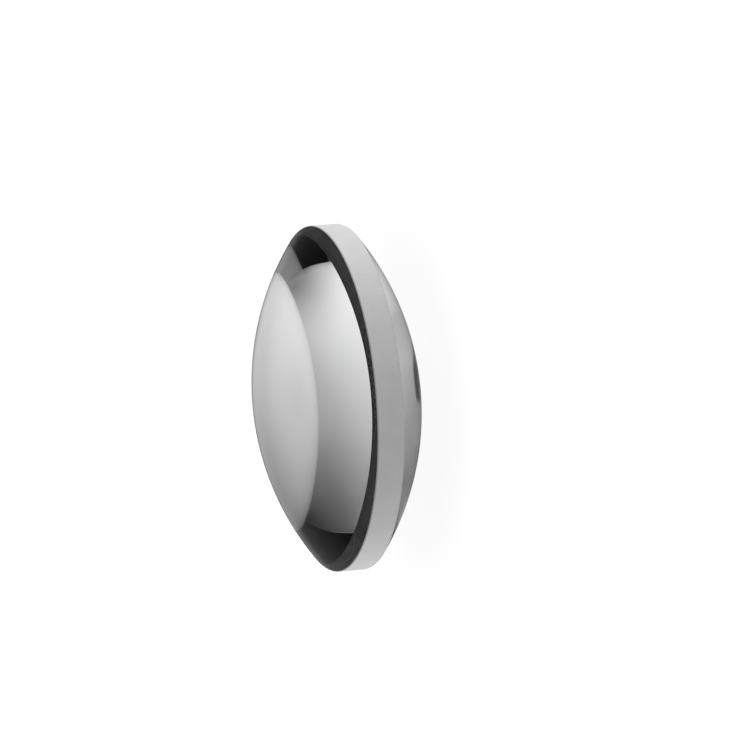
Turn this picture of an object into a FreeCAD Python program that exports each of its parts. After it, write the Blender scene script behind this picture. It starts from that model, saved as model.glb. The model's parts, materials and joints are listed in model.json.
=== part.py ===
import FreeCAD, Part
import math
import os
import Sketcher
from FreeCAD import Vector

# A lens of crown glass with two polished convex faces and a ground cylindrical rim.
# It lies on its back face: the optical axis is Z, and the origin is the back vertex,
# which is the lens's lowest point. The front face is the upper one.

# Driving dimensions in millimetres
dimensions = (
    ("diameter", 25.4, "across the ground rim"),
    ("edge_thickness", 2.0, "along the rim, up to the corners that the bevels take off"),
    ("front_radius", 20.2, "of the sphere that the front face is a cap of"),
    ("back_radius", 20.2, "of the sphere that the back face is a cap of"),
    ("bevel_leg", 0.05, "of the hairline bevels, along the rim and along the face"),
)


def addSheet(doc):
    sheet = doc.addObject("Spreadsheet::Sheet", "Dimensions")
    for row, (alias, size, note) in enumerate(dimensions, start=1):
        sheet.set(f"A{row}", alias)
        sheet.set(f"B{row}", str(size))
        sheet.set(f"C{row}", note)
        sheet.setAlias(f"B{row}", alias)
    doc.recompute()
    return sheet


def originFeature(body, role):
    return next(feature for feature in body.Origin.OriginFeatures if feature.Role == role)


def sagitta(radius, halfWidth):
    """Depth of a spherical cap of this radius and half width"""
    return radius - math.sqrt(radius ** 2 - halfWidth ** 2)


def addHalfSection(body, sheet):
    """The closed outline right of the axis: back arc, rim, front arc and the axis itself"""
    halfWidth = sheet.diameter / 2
    backEdge = sagitta(sheet.back_radius, halfWidth)
    frontEdge = backEdge + sheet.edge_thickness
    frontVertex = frontEdge + sagitta(sheet.front_radius, halfWidth)
    backCentre = sheet.back_radius
    frontCentre = frontVertex - sheet.front_radius

    sketch = body.newObject("Sketcher::SketchObject", "HalfSection")
    sketch.AttachmentSupport = [(originFeature(body, "XZ_Plane"), "")]
    sketch.MapMode = "FlatFace"

    normal = Vector(0, 0, 1)
    backCircle = Part.Circle(Vector(0, backCentre, 0), normal, sheet.back_radius)
    backAngle = math.atan2(backEdge - backCentre, halfWidth)
    back = sketch.addGeometry(Part.ArcOfCircle(backCircle, -math.pi / 2, backAngle))
    rimLine = Part.LineSegment(Vector(halfWidth, backEdge, 0), Vector(halfWidth, frontEdge, 0))
    rim = sketch.addGeometry(rimLine)
    frontCircle = Part.Circle(Vector(0, frontCentre, 0), normal, sheet.front_radius)
    frontAngle = math.atan2(frontEdge - frontCentre, halfWidth)
    front = sketch.addGeometry(Part.ArcOfCircle(frontCircle, frontAngle, math.pi / 2))
    axis = sketch.addGeometry(Part.LineSegment(Vector(0, frontVertex, 0), Vector(0, 0, 0)))

    # The points of a line or arc, and then the section's own root point and vertical axis
    start, end, centre = 1, 2, 3
    root, vertical = -1, -2
    outline = (back, rim, front, axis)
    for piece, following in zip(outline, outline[1:] + outline[:1]):
        sketch.addConstraint(Sketcher.Constraint("Coincident", piece, end, following, start))
    sketch.addConstraint(Sketcher.Constraint("Coincident", back, start, root, start))
    sketch.addConstraint(Sketcher.Constraint("PointOnObject", back, centre, vertical))
    sketch.addConstraint(Sketcher.Constraint("PointOnObject", front, centre, vertical))
    sketch.addConstraint(Sketcher.Constraint("PointOnObject", axis, start, vertical))
    sketch.addConstraint(Sketcher.Constraint("Vertical", rim))

    sizes = (
        (Sketcher.Constraint("Radius", back, sheet.back_radius), "backRadius", "back_radius"),
        (Sketcher.Constraint("Radius", front, sheet.front_radius), "frontRadius", "front_radius"),
        (
            Sketcher.Constraint("DistanceX", root, start, rim, start, halfWidth),
            "rimRadius",
            "diameter / 2",
        ),
        (
            Sketcher.Constraint("DistanceY", rim, start, rim, end, sheet.edge_thickness),
            "edgeThickness",
            "edge_thickness",
        ),
    )
    for constraint, name, formula in sizes:
        index = sketch.addConstraint(constraint)
        sketch.renameConstraint(index, name)
        sketch.setExpression(f"Constraints.{name}", f"Dimensions.{formula}")
    return sketch


def rimEdges(shape, diameter):
    """Names of the two circles where a polished face meets the rim"""
    around = math.pi * diameter
    return [
        f"Edge{number}"
        for number, edge in enumerate(shape.Edges, start=1)
        if math.isclose(edge.Length, around, rel_tol=1e-6)
    ]


def addLens(doc, sheet):
    body = doc.addObject("PartDesign::Body", "Lens")
    body.Label = "lens"
    body.Placement = FreeCAD.Placement()
    section = addHalfSection(body, sheet)

    blank = body.newObject("PartDesign::Revolution", "Blank")
    blank.Profile = section
    blank.ReferenceAxis = (section, ["V_Axis"])
    blank.Angle = 360
    section.Visibility = False
    doc.recompute()

    bevels = body.newObject("PartDesign::Chamfer", "Bevels")
    bevels.Base = (blank, rimEdges(blank.Shape, sheet.diameter))
    bevels.setExpression("Size", "Dimensions.bevel_leg")
    return body


def check(doc, bodies):
    for thing in doc.Objects:
        if "Invalid" in thing.State or "Error" in thing.State:
            raise RuntimeError(f"{thing.Label} failed: {thing.State}")
    for body in bodies:
        if body.Shape.isNull() or not body.Shape.isValid():
            raise RuntimeError(f"{body.Label} has no valid shape")


def main():
    doc = FreeCAD.newDocument("biconvex_lens")
    sheet = addSheet(doc)
    bodies = [addLens(doc, sheet)]
    doc.recompute()
    check(doc, bodies)
    os.makedirs("parts", exist_ok=True)
    for body in bodies:
        body.Shape.exportStep(f"parts/{body.Label}.step")
        box = body.Shape.optimalBoundingBox(False)
        print(f"{body.Label}: {box.XLength:.3f} x {box.YLength:.3f} x {box.ZLength:.3f} mm,",
              f"{body.Shape.Volume:.1f} mm3, {len(body.Shape.Faces)} faces")


main()
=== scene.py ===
import json
import math

import bpy
from mathutils import Matrix, Vector


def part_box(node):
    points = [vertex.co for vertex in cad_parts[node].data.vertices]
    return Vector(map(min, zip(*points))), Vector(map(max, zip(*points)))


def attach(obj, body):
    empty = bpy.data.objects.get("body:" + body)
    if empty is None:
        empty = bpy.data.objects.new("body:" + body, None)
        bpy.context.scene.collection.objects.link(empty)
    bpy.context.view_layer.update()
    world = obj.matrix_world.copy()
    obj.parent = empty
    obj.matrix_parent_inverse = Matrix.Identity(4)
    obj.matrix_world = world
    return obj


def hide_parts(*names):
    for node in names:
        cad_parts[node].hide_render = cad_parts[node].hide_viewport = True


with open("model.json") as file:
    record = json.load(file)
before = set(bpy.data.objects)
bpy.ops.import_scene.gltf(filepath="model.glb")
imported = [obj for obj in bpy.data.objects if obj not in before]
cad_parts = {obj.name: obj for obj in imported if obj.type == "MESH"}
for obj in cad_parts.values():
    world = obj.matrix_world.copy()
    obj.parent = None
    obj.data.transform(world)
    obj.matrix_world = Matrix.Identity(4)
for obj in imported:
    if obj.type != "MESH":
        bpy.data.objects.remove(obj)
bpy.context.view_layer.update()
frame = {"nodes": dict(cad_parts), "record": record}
print("frame loaded:", ", ".join(sorted(frame["nodes"])))


# A socket of a node tree. Sums and products of wires add their own Math nodes.
class Wire:
    def __init__(self, tree, socket=None):
        self.tree = tree
        self.socket = socket

    def node(self, kind, settings=None, sockets=None, output=0):
        made = self.tree.nodes.new(kind)
        for name, value in (settings or {}).items():
            setattr(made, name, value)
        for name, value in (sockets or {}).items():
            if isinstance(value, Wire):
                self.tree.links.new(value.socket, made.inputs[name])
            else:
                made.inputs[name].default_value = value
        return Wire(self.tree, made.outputs[output] if made.outputs else None)

    def maths(self, operation, *values):
        return self.node("ShaderNodeMath", {"operation": operation}, dict(enumerate(values)))

    def __add__(self, other):
        return self.maths("ADD", self, other)

    def __mul__(self, other):
        return self.maths("MULTIPLY", self, other)

    def __rsub__(self, other):
        return self.maths("SUBTRACT", other, self)

    __rmul__ = __mul__

    # From one end to the other with a soft start and finish
    def ease(self, zeroAt, oneAt, low=0.0, high=1.0):
        ends = {"Value": self, "From Min": zeroAt, "From Max": oneAt, "To Min": low, "To Max": high}
        return self.node("ShaderNodeMapRange", {"interpolation_type": "SMOOTHSTEP"}, ends)

    # Another output of the node that this wire leaves
    def other(self, output):
        return Wire(self.tree, self.socket.node.outputs[output])

    # This number as red, green and blue alike
    def grey(self):
        return self.node("ShaderNodeCombineColor", None, {0: self, 1: self, 2: self})


def freshTree(owner):
    owner.use_nodes = True
    owner.node_tree.nodes.clear()
    return Wire(owner.node_tree)


millimetre = 0.001

# The lens: its sizes come from the frame, apart from the bevels that are too fine to measure there
lensShape = {
    "bevelLeg": 0.05 * millimetre,
    "stepsAround": 288,
    "ringsAcrossFace": 80,
    "ringsAlongRim": 6,
}


def lensSizes():
    low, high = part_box("lens")
    rim = next(mount for mount in frame["record"]["mounts"] if mount["name"] == "rim")
    halfWidth = rim["dims"]["r_mm"] * millimetre
    edge = rim["dims"]["length_mm"] * millimetre + 2 * lensShape["bevelLeg"]
    sag = (high.z - low.z - edge) / 2
    return {
        "bottom": low.z,
        "top": high.z,
        "halfWidth": halfWidth,
        "edge": edge,
        "sag": sag,
        "faceRadius": (halfWidth ** 2 + sag ** 2) / (2 * sag),
    }


# Half a section as strips of rings. A ring is its distance from the axis, its height and its normal
# as the same two numbers, and each strip keeps its own normals, so its borders stay crisp.
def lensStrips(size):
    radius = size["faceRadius"]
    leg = lensShape["bevelLeg"]
    middle = (size["top"] + size["bottom"]) / 2
    edgeAngle = math.asin(size["halfWidth"] / radius) - leg / radius
    rings = lensShape["ringsAcrossFace"]
    angles = [edgeAngle * step / rings for step in range(rings + 1)]
    back = [
        (radius * math.sin(a), size["bottom"] + radius * (1 - math.cos(a)), math.sin(a), -math.cos(a))
        for a in angles
    ]
    rimLow = middle - size["edge"] / 2 + leg
    rimHigh = middle + size["edge"] / 2 - leg
    steps = lensShape["ringsAlongRim"]
    rim = [
        (size["halfWidth"], rimLow + (rimHigh - rimLow) * step / steps, 1.0, 0.0)
        for step in range(steps + 1)
    ]
    across, along = rim[0][0] - back[-1][0], rim[0][1] - back[-1][1]
    slope = math.hypot(across, along)
    facing = (along / slope, -across / slope)
    bevel = [back[-1][:2] + facing, rim[0][:2] + facing]

    def mirrored(strip):
        return [(r, 2 * middle - z, nr, -nz) for r, z, nr, nz in reversed(strip)]

    return [
        ("polished", back),
        ("backBevel", bevel),
        ("ground", rim),
        ("frontBevel", mirrored(bevel)),
        ("polished", mirrored(back)),
    ]


def lathe(name, strips, slots):
    around = lensShape["stepsAround"]
    turns = [2 * math.pi * step / around for step in range(around)]
    points, faces, normals, slotOfFace = [], [], [], []
    ringStarts = {}
    decimals = 9  # of a metre, and rings whose places agree that far share their points
    nearAxis = 1e-9  # a ring narrower than this is a single point

    def ringStart(ring):
        place = (round(ring[0], decimals), round(ring[1], decimals))
        if place not in ringStarts:
            ringStarts[place] = len(points)
            if ring[0] < nearAxis:
                points.append((0.0, 0.0, ring[1]))
            else:
                points.extend((ring[0] * math.cos(t), ring[0] * math.sin(t), ring[1]) for t in turns)
        return ringStarts[place]

    def corner(ring, start, step):
        angle = turns[step % around]
        point = start if ring[0] < nearAxis else start + step % around
        return point, (ring[2] * math.cos(angle), ring[2] * math.sin(angle), ring[3])

    for slot, strip in strips:
        for lower, upper in zip(strip, strip[1:]):
            lowStart, highStart = ringStart(lower), ringStart(upper)
            for step in range(around):
                corners = [corner(lower, lowStart, step)]
                if lower[0] > nearAxis:
                    corners.append(corner(lower, lowStart, step + 1))
                if upper[0] > nearAxis:
                    corners.append(corner(upper, highStart, step + 1))
                corners.append(corner(upper, highStart, step))
                faces.append([point for point, _ in corners])
                normals.extend(normal for _, normal in corners)
                slotOfFace.append(slots.index(slot))

    mesh = bpy.data.meshes.new(name)
    mesh.from_pydata(points, [], faces)
    mesh.polygons.foreach_set("use_smooth", [True] * len(faces))
    mesh.polygons.foreach_set("material_index", slotOfFace)
    mesh.normals_split_custom_set(normals)
    mesh.update()
    piece = bpy.data.objects.new(name, mesh)
    bpy.context.scene.collection.objects.link(piece)
    return piece


# Polished crown glass that mirrors little where it is met head on, as a coated face would
polishedGlass = {
    "colour": (0.985, 0.99, 0.988, 1),
    "ior": 1.5168,
    "headOnMirror": (0, 0, 0, 1),
}


def makePolishedGlass():
    material = bpy.data.materials.new("polished_crown_glass")
    tree = freshTree(material)
    glass = tree.node(
        "ShaderNodeBsdfPrincipled",
        None,
        {
            "Base Color": polishedGlass["colour"],
            "Roughness": 0.0,
            "IOR": polishedGlass["ior"],
            "Specular Tint": polishedGlass["headOnMirror"],
            "Transmission Weight": 1.0,
        },
    )
    tree.node("ShaderNodeOutputMaterial", None, {"Surface": glass})
    return material


# The rim as the grinding wheel leaves it: satin from outside. Seen from inside through the glass it shows a
# darker tone, which is painted shade over a random mottle
groundGlass = {
    "pale": 0.78,
    "paler": 0.84,
    # the rim's darker inside tones, painted shade
    "insideShadeDark": 0.185,
    "insideShadeLight": 0.235,
    "roughness": 0.6,
    "roughnessSpread": 0.04,
    "insideRoughness": 0.9,
    "grainPerMetre": 9000,
    "grainDetail": 3.0,
    "grainHeight": 0.002 * millimetre,
    "grainStrength": 0.5,
    "grainShare": 0.5,  # of the grain in the tone, and the mottle has the rest
    "mottlePerMetre": 700,
    "mottleDetail": 4.0,
    "toneRange": (0.3, 0.7),  # the noise levels between which the tone changes
    "roughRange": (0.2, 0.8),
}

# The two hairline bevels are ground as well, in darker tones chosen to match the photograph
# Their darker tones, the front bevel darker than the back, are painted shade: shaded copies of the rim's
# ground glass
frontBevelShadedGlass = dict(groundGlass, pale=0.40, paler=0.44)
backBevelShadedGlass = dict(groundGlass, pale=0.65, paler=0.69)


def makeGroundGlass(name, look):
    material = bpy.data.materials.new(name)
    tree = freshTree(material)
    place = tree.node("ShaderNodeTexCoord", output="Object")

    def noise(perMetre, detail):
        return tree.node("ShaderNodeTexNoise", None, {"Vector": place, "Scale": perMetre, "Detail": detail})

    grain = noise(look["grainPerMetre"], look["grainDetail"])
    mottle = noise(look["mottlePerMetre"], look["mottleDetail"])
    share = look["grainShare"]
    tone = (mottle * (1 - share) + grain * share).ease(*look["toneRange"], look["pale"], look["paler"])
    # painted shade: the rim's inside is made darker than its outside, with a mottle that varies at random
    paintedInsideShade = mottle.ease(*look["toneRange"], look["insideShadeDark"], look["insideShadeLight"])
    smoothest = look["roughness"] - look["roughnessSpread"]
    roughest = look["roughness"] + look["roughnessSpread"]
    relief = {"Strength": look["grainStrength"], "Distance": look["grainHeight"], "Height": grain}
    bump = tree.node("ShaderNodeBump", None, relief)
    outside = tree.node(
        "ShaderNodeBsdfPrincipled",
        None,
        {
            "Base Color": tone.grey(),
            "Roughness": grain.ease(*look["roughRange"], smoothest, roughest),
            "IOR": polishedGlass["ior"],
            "Normal": bump,
        },
    )
    inside = tree.node(
        "ShaderNodeBsdfPrincipled",
        None,
        {
            "Base Color": paintedInsideShade.grey(),
            "Roughness": look["insideRoughness"],
            "Specular IOR Level": 0.0,
        },
    )
    # seen from inside through the glass, the rim shows the painted shade tone
    backfacing = tree.node("ShaderNodeNewGeometry", output="Backfacing")
    both = tree.node("ShaderNodeMixShader", None, {0: backfacing, 1: outside, 2: inside})
    tree.node("ShaderNodeOutputMaterial", None, {"Surface": both})
    return material


def makeLens():
    glasses = {
        "polished": makePolishedGlass(),
        "ground": makeGroundGlass("ground_glass_rim", groundGlass),
        # the two bevels carry painted shade in their darker tones
        "frontBevel": makeGroundGlass("ground_glass_front_bevel_painted_shade", frontBevelShadedGlass),
        "backBevel": makeGroundGlass("ground_glass_back_bevel_painted_shade", backBevelShadedGlass),
    }
    lens = lathe("lens_body", lensStrips(lensSizes()), list(glasses))
    for material in glasses.values():
        lens.data.materials.append(material)
    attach(lens, "root")
    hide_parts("lens")
    print("lens turned:", len(lens.data.polygons), "faces")


# The floor looks evenly white, and shades only a little under the lens
pageFloor = {
    "halfSize": 4.0,  # metres, well past the picture's edges
    "shaded": 0.15,  # how pale its matt paint is, the only part that a shadow darkens
    "glow": 0.90,
}


def makeFloor():
    half = pageFloor["halfSize"]
    mesh = bpy.data.meshes.new("floor")
    corners = [(-half, -half, 0), (half, -half, 0), (half, half, 0), (-half, half, 0)]
    mesh.from_pydata(corners, [], [(0, 1, 2, 3)])
    floor = bpy.data.objects.new("floor", mesh)
    bpy.context.scene.collection.objects.link(floor)

    material = bpy.data.materials.new("pale_floor")
    tree = freshTree(material)
    shaded = pageFloor["shaded"]
    matt = tree.node("ShaderNodeBsdfDiffuse", None, {"Color": (shaded, shaded, shaded, 1)})
    glow = tree.node("ShaderNodeEmission", None, {"Strength": pageFloor["glow"]})
    paint = tree.node("ShaderNodeAddShader", None, {0: matt, 1: glow})
    clear = tree.node("ShaderNodeBsdfTransparent")
    seen = tree.node("ShaderNodeLightPath", output="Is Camera Ray")
    both = tree.node("ShaderNodeMixShader", None, {0: seen, 1: clear, 2: paint})
    tree.node("ShaderNodeOutputMaterial", None, {"Surface": both})
    mesh.materials.append(material)
    print("floor laid")


# What the glass looks out on: soft lights and dark cards, each laid over the ones before it.
# Angles are in degrees, azimuth from +X towards +Y, and a card fades over twice its softness.
# Most of them were fitted to what the photographed glass shows, and three side lights are for other views.
studio = {
    "surround": 0.248,
    # The pale tent that lights plain surfaces, greyer on the far side and open where the camera looks in
    "tent": 1.674,
    "tentCards": {
        "farSide": dict(azimuth=171, elevation=0, radius=42, softness=24, level=0.5),
        "opening": dict(azimuth=-14.6, elevation=0, radius=76, softness=85, level=0.0),
    },
    "backdrop": 1.0,
    "cards": {
        "cameraSideLight": dict(azimuth=340, elevation=45, radius=42, softness=16, level=0.8),
        "highSideLight": dict(azimuth=58, elevation=42, radius=36, softness=8, level=0.75),
        "bigSoftLight": dict(azimuth=228, elevation=-5, radius=51, softness=52, level=0.926),
        "darkSideCard": dict(azimuth=93, elevation=11, radius=34, softness=43, level=0.007),
        "lowSideLight": dict(azimuth=101, elevation=-29, radius=18, softness=5, level=0.75),
        "lowerGreyCard": dict(azimuth=259, elevation=17, radius=21, softness=28, level=0.196),
        "leftBlackCard": dict(azimuth=50, elevation=-12, radius=30, softness=6, level=0.0),
        "rightBlackCard": dict(azimuth=310, elevation=-18, radius=31, softness=10, level=0.0),
        "leftStrip": dict(azimuth=24, elevation=-23, radius=5, softness=7, level=0.088),
        "rightStrip": dict(azimuth=333, elevation=-16, radius=11, softness=1, level=0.289),
        "lowLight": dict(azimuth=137, elevation=-39, radius=12, softness=29, level=0.304),
        "topLight": dict(azimuth=181, elevation=81, radius=14, softness=28, level=0.447),
        "smallDarkCard": dict(azimuth=265, elevation=-2, radius=9, softness=11, level=0.118),
        "paleScreen": dict(azimuth=179, elevation=-17, radius=4, softness=13, level=0.54),
        "footShade": dict(azimuth=347, elevation=-76, radius=31, softness=1.2, level=0.045),
        "footLight": dict(azimuth=140, elevation=-70, radius=9, softness=2, level=0.34),
        "lowGreyCard": dict(azimuth=223, elevation=-58, radius=10.9, softness=4.5, level=0.53),
        "tableSeam": dict(azimuth=133, elevation=-44, radius=1.2, softness=13, level=0.169),
        "paleTable": dict(azimuth=350, elevation=-70, radius=26, softness=2, level=0.8),
    },
    # What the faces mirror, which is so faint that its broad tones are enough
    "mirrored": 0.085,
    "mirroredCards": {
        "farBackdrop": dict(azimuth=183, elevation=3, radius=11, softness=8, level=0.547),
        "softLight": dict(azimuth=205, elevation=14, radius=23, softness=13, level=0.164),
        "tableEdge": dict(azimuth=181, elevation=-36, radius=12, softness=7, level=0.127),
    },
}


def direction(azimuth, elevation):
    a, e = math.radians(azimuth), math.radians(elevation)
    return Vector((math.cos(a) * math.cos(e), math.sin(a) * math.cos(e), math.sin(e)))


def makeStudio():
    world = bpy.data.worlds.new("studio")
    bpy.context.scene.world = world
    world.cycles.sampling_method = "NONE"
    tree = freshTree(world)
    outlook = tree.node("ShaderNodeTexCoord", output="Generated")

    # One card laid over what is already there
    def lay(level, card):
        centre = direction(card["azimuth"], card["elevation"])
        toward = tree.node(
            "ShaderNodeVectorMath", {"operation": "DOT_PRODUCT"}, {0: outlook, 1: centre}, output="Value"
        )
        away = toward.maths("ARCCOSINE", toward.maths("MINIMUM", toward, 1.0))  # rounding can pass 1
        outer = math.radians(card["radius"] + card["softness"])
        inner = math.radians(card["radius"] - card["softness"])
        uncovered = away.ease(inner, outer)
        return level * uncovered + card["level"] * (1 - uncovered)

    level = studio["surround"]
    for card in studio["cards"].values():
        level = lay(level, card)
    mirror = studio["mirrored"]
    for card in studio["mirroredCards"].values():
        mirror = lay(mirror, card)
    tent = studio["tent"]
    for card in studio["tentCards"].values():
        tent = lay(tent, card)

    ray = tree.node("ShaderNodeLightPath", output="Is Camera Ray")
    mirrored = ray.other("Is Singular Ray") * ray.other("Is Reflection Ray")
    plain = ray.other("Is Diffuse Ray")
    level = level * (1 - mirrored) + mirror * mirrored
    level = level * (1 - plain) + tent * plain
    level = level * (1 - ray) + studio["backdrop"] * ray
    glow = tree.node("ShaderNodeBackground", None, {"Color": (1, 1, 1, 1), "Strength": level})
    tree.node("ShaderNodeOutputWorld", None, {"Surface": glow})
    print("studio lit with", len(studio["cards"]), "lights and cards")


# The camera, rolled so that the lens, which lies on the floor, stands in the picture as photographed
photograph = {
    "azimuth": 1.464,  # degrees from +X towards +Y
    "elevation": 17.85,
    "roll": -94.70,
    "distance": 0.8783,
    "focalLength": 576,
    "frameSize": 750,
    "lensMiddle": (336.19, 397.73),  # pixels, where the middle of the lens comes in the frame
}


def makeCamera():
    low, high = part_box("lens")
    middle = (low + high) / 2
    back = direction(photograph["azimuth"], photograph["elevation"])
    level = Vector((0, 0, 1)).cross(back).normalized()
    right = Matrix.Rotation(math.radians(photograph["roll"]), 3, back) @ level
    up = back.cross(right)

    data = bpy.data.cameras.new("camera")
    data.lens = photograph["focalLength"]
    camera = bpy.data.objects.new("camera", data)
    bpy.context.scene.collection.objects.link(camera)
    pixel = photograph["distance"] * data.sensor_width / data.lens / photograph["frameSize"]
    half = photograph["frameSize"] / 2
    across = (photograph["lensMiddle"][0] - half) * pixel
    down = (photograph["lensMiddle"][1] - half) * pixel
    place = middle + back * photograph["distance"] - right * across + up * down
    camera.matrix_world = Matrix.Translation(place) @ Matrix((right, up, back)).transposed().to_4x4()
    bpy.context.scene.camera = camera
    print("camera placed", [round(value, 5) for value in place])


bounces = {
    "all": 12,
    "reflected": 4,  # a ray reflected more often goes dark, as the corners of the photographed glass are
    "transmitted": 8,
}


def setScene():
    scene = bpy.context.scene
    scene.view_settings.view_transform = "Standard"
    scene.cycles.max_bounces = bounces["all"]
    scene.cycles.glossy_bounces = bounces["reflected"]
    scene.cycles.transmission_bounces = bounces["transmitted"]


makeLens()
makeFloor()
makeStudio()
makeCamera()
setScene()
